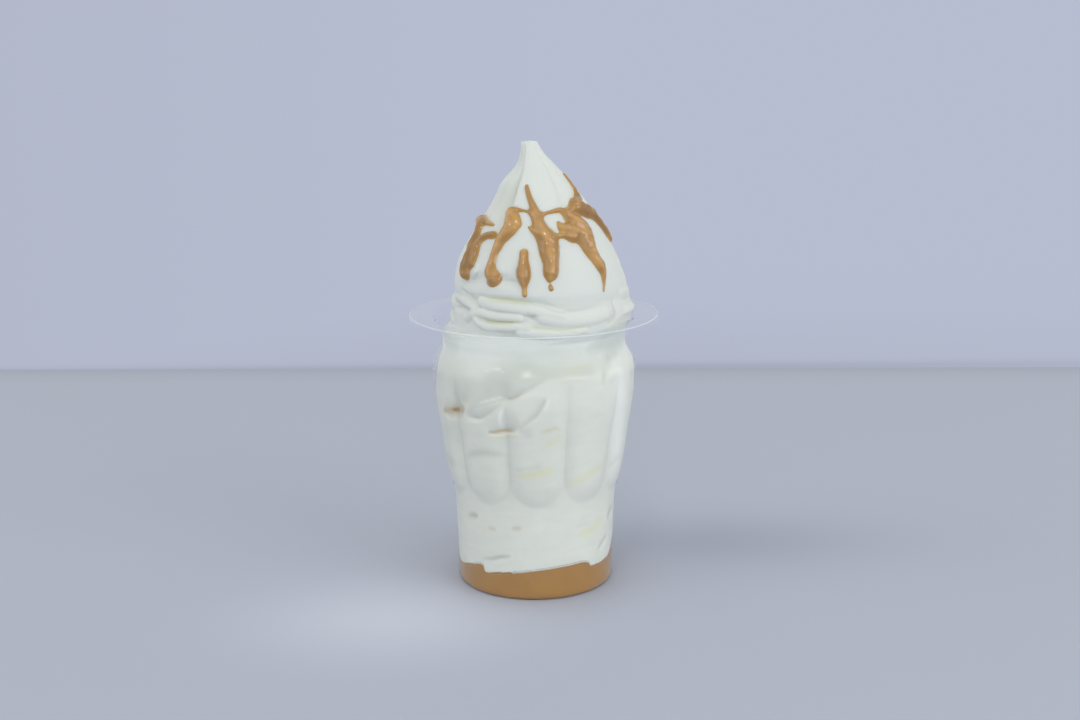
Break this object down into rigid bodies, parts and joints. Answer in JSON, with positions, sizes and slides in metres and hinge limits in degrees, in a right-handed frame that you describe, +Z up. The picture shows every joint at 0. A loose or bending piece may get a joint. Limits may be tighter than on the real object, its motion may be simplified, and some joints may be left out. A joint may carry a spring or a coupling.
{
  "type": "biscuit sundae",
  "caption": "Tall soft-serve swirl over a clear fluted plastic cup, with thick biscuit-coloured sauce drizzled down the swirl and pooled in the bottom.",
  "frame": {"origin": "centre of the cup's foot, on the surface it stands on", "axes": "+Z up through the cup and the swirl, front facing -Y, +X to the right as seen from the front"},
  "size_m": [0.095, 0.095, 0.171],
  "materials": {
    "clear_plastic": "clear thin plastic, smooth and glossy",
    "biscuit_sauce": "thick biscuit spread sauce, wet and glossy",
    "soft_serve": "white soft-serve ice cream, soft satin"
  },
  "bodies": {
    "root": {"cup": "clear_plastic", "bottom_sauce": "biscuit_sauce", "soft_serve": "soft_serve"}
  },
  "joints": []
}
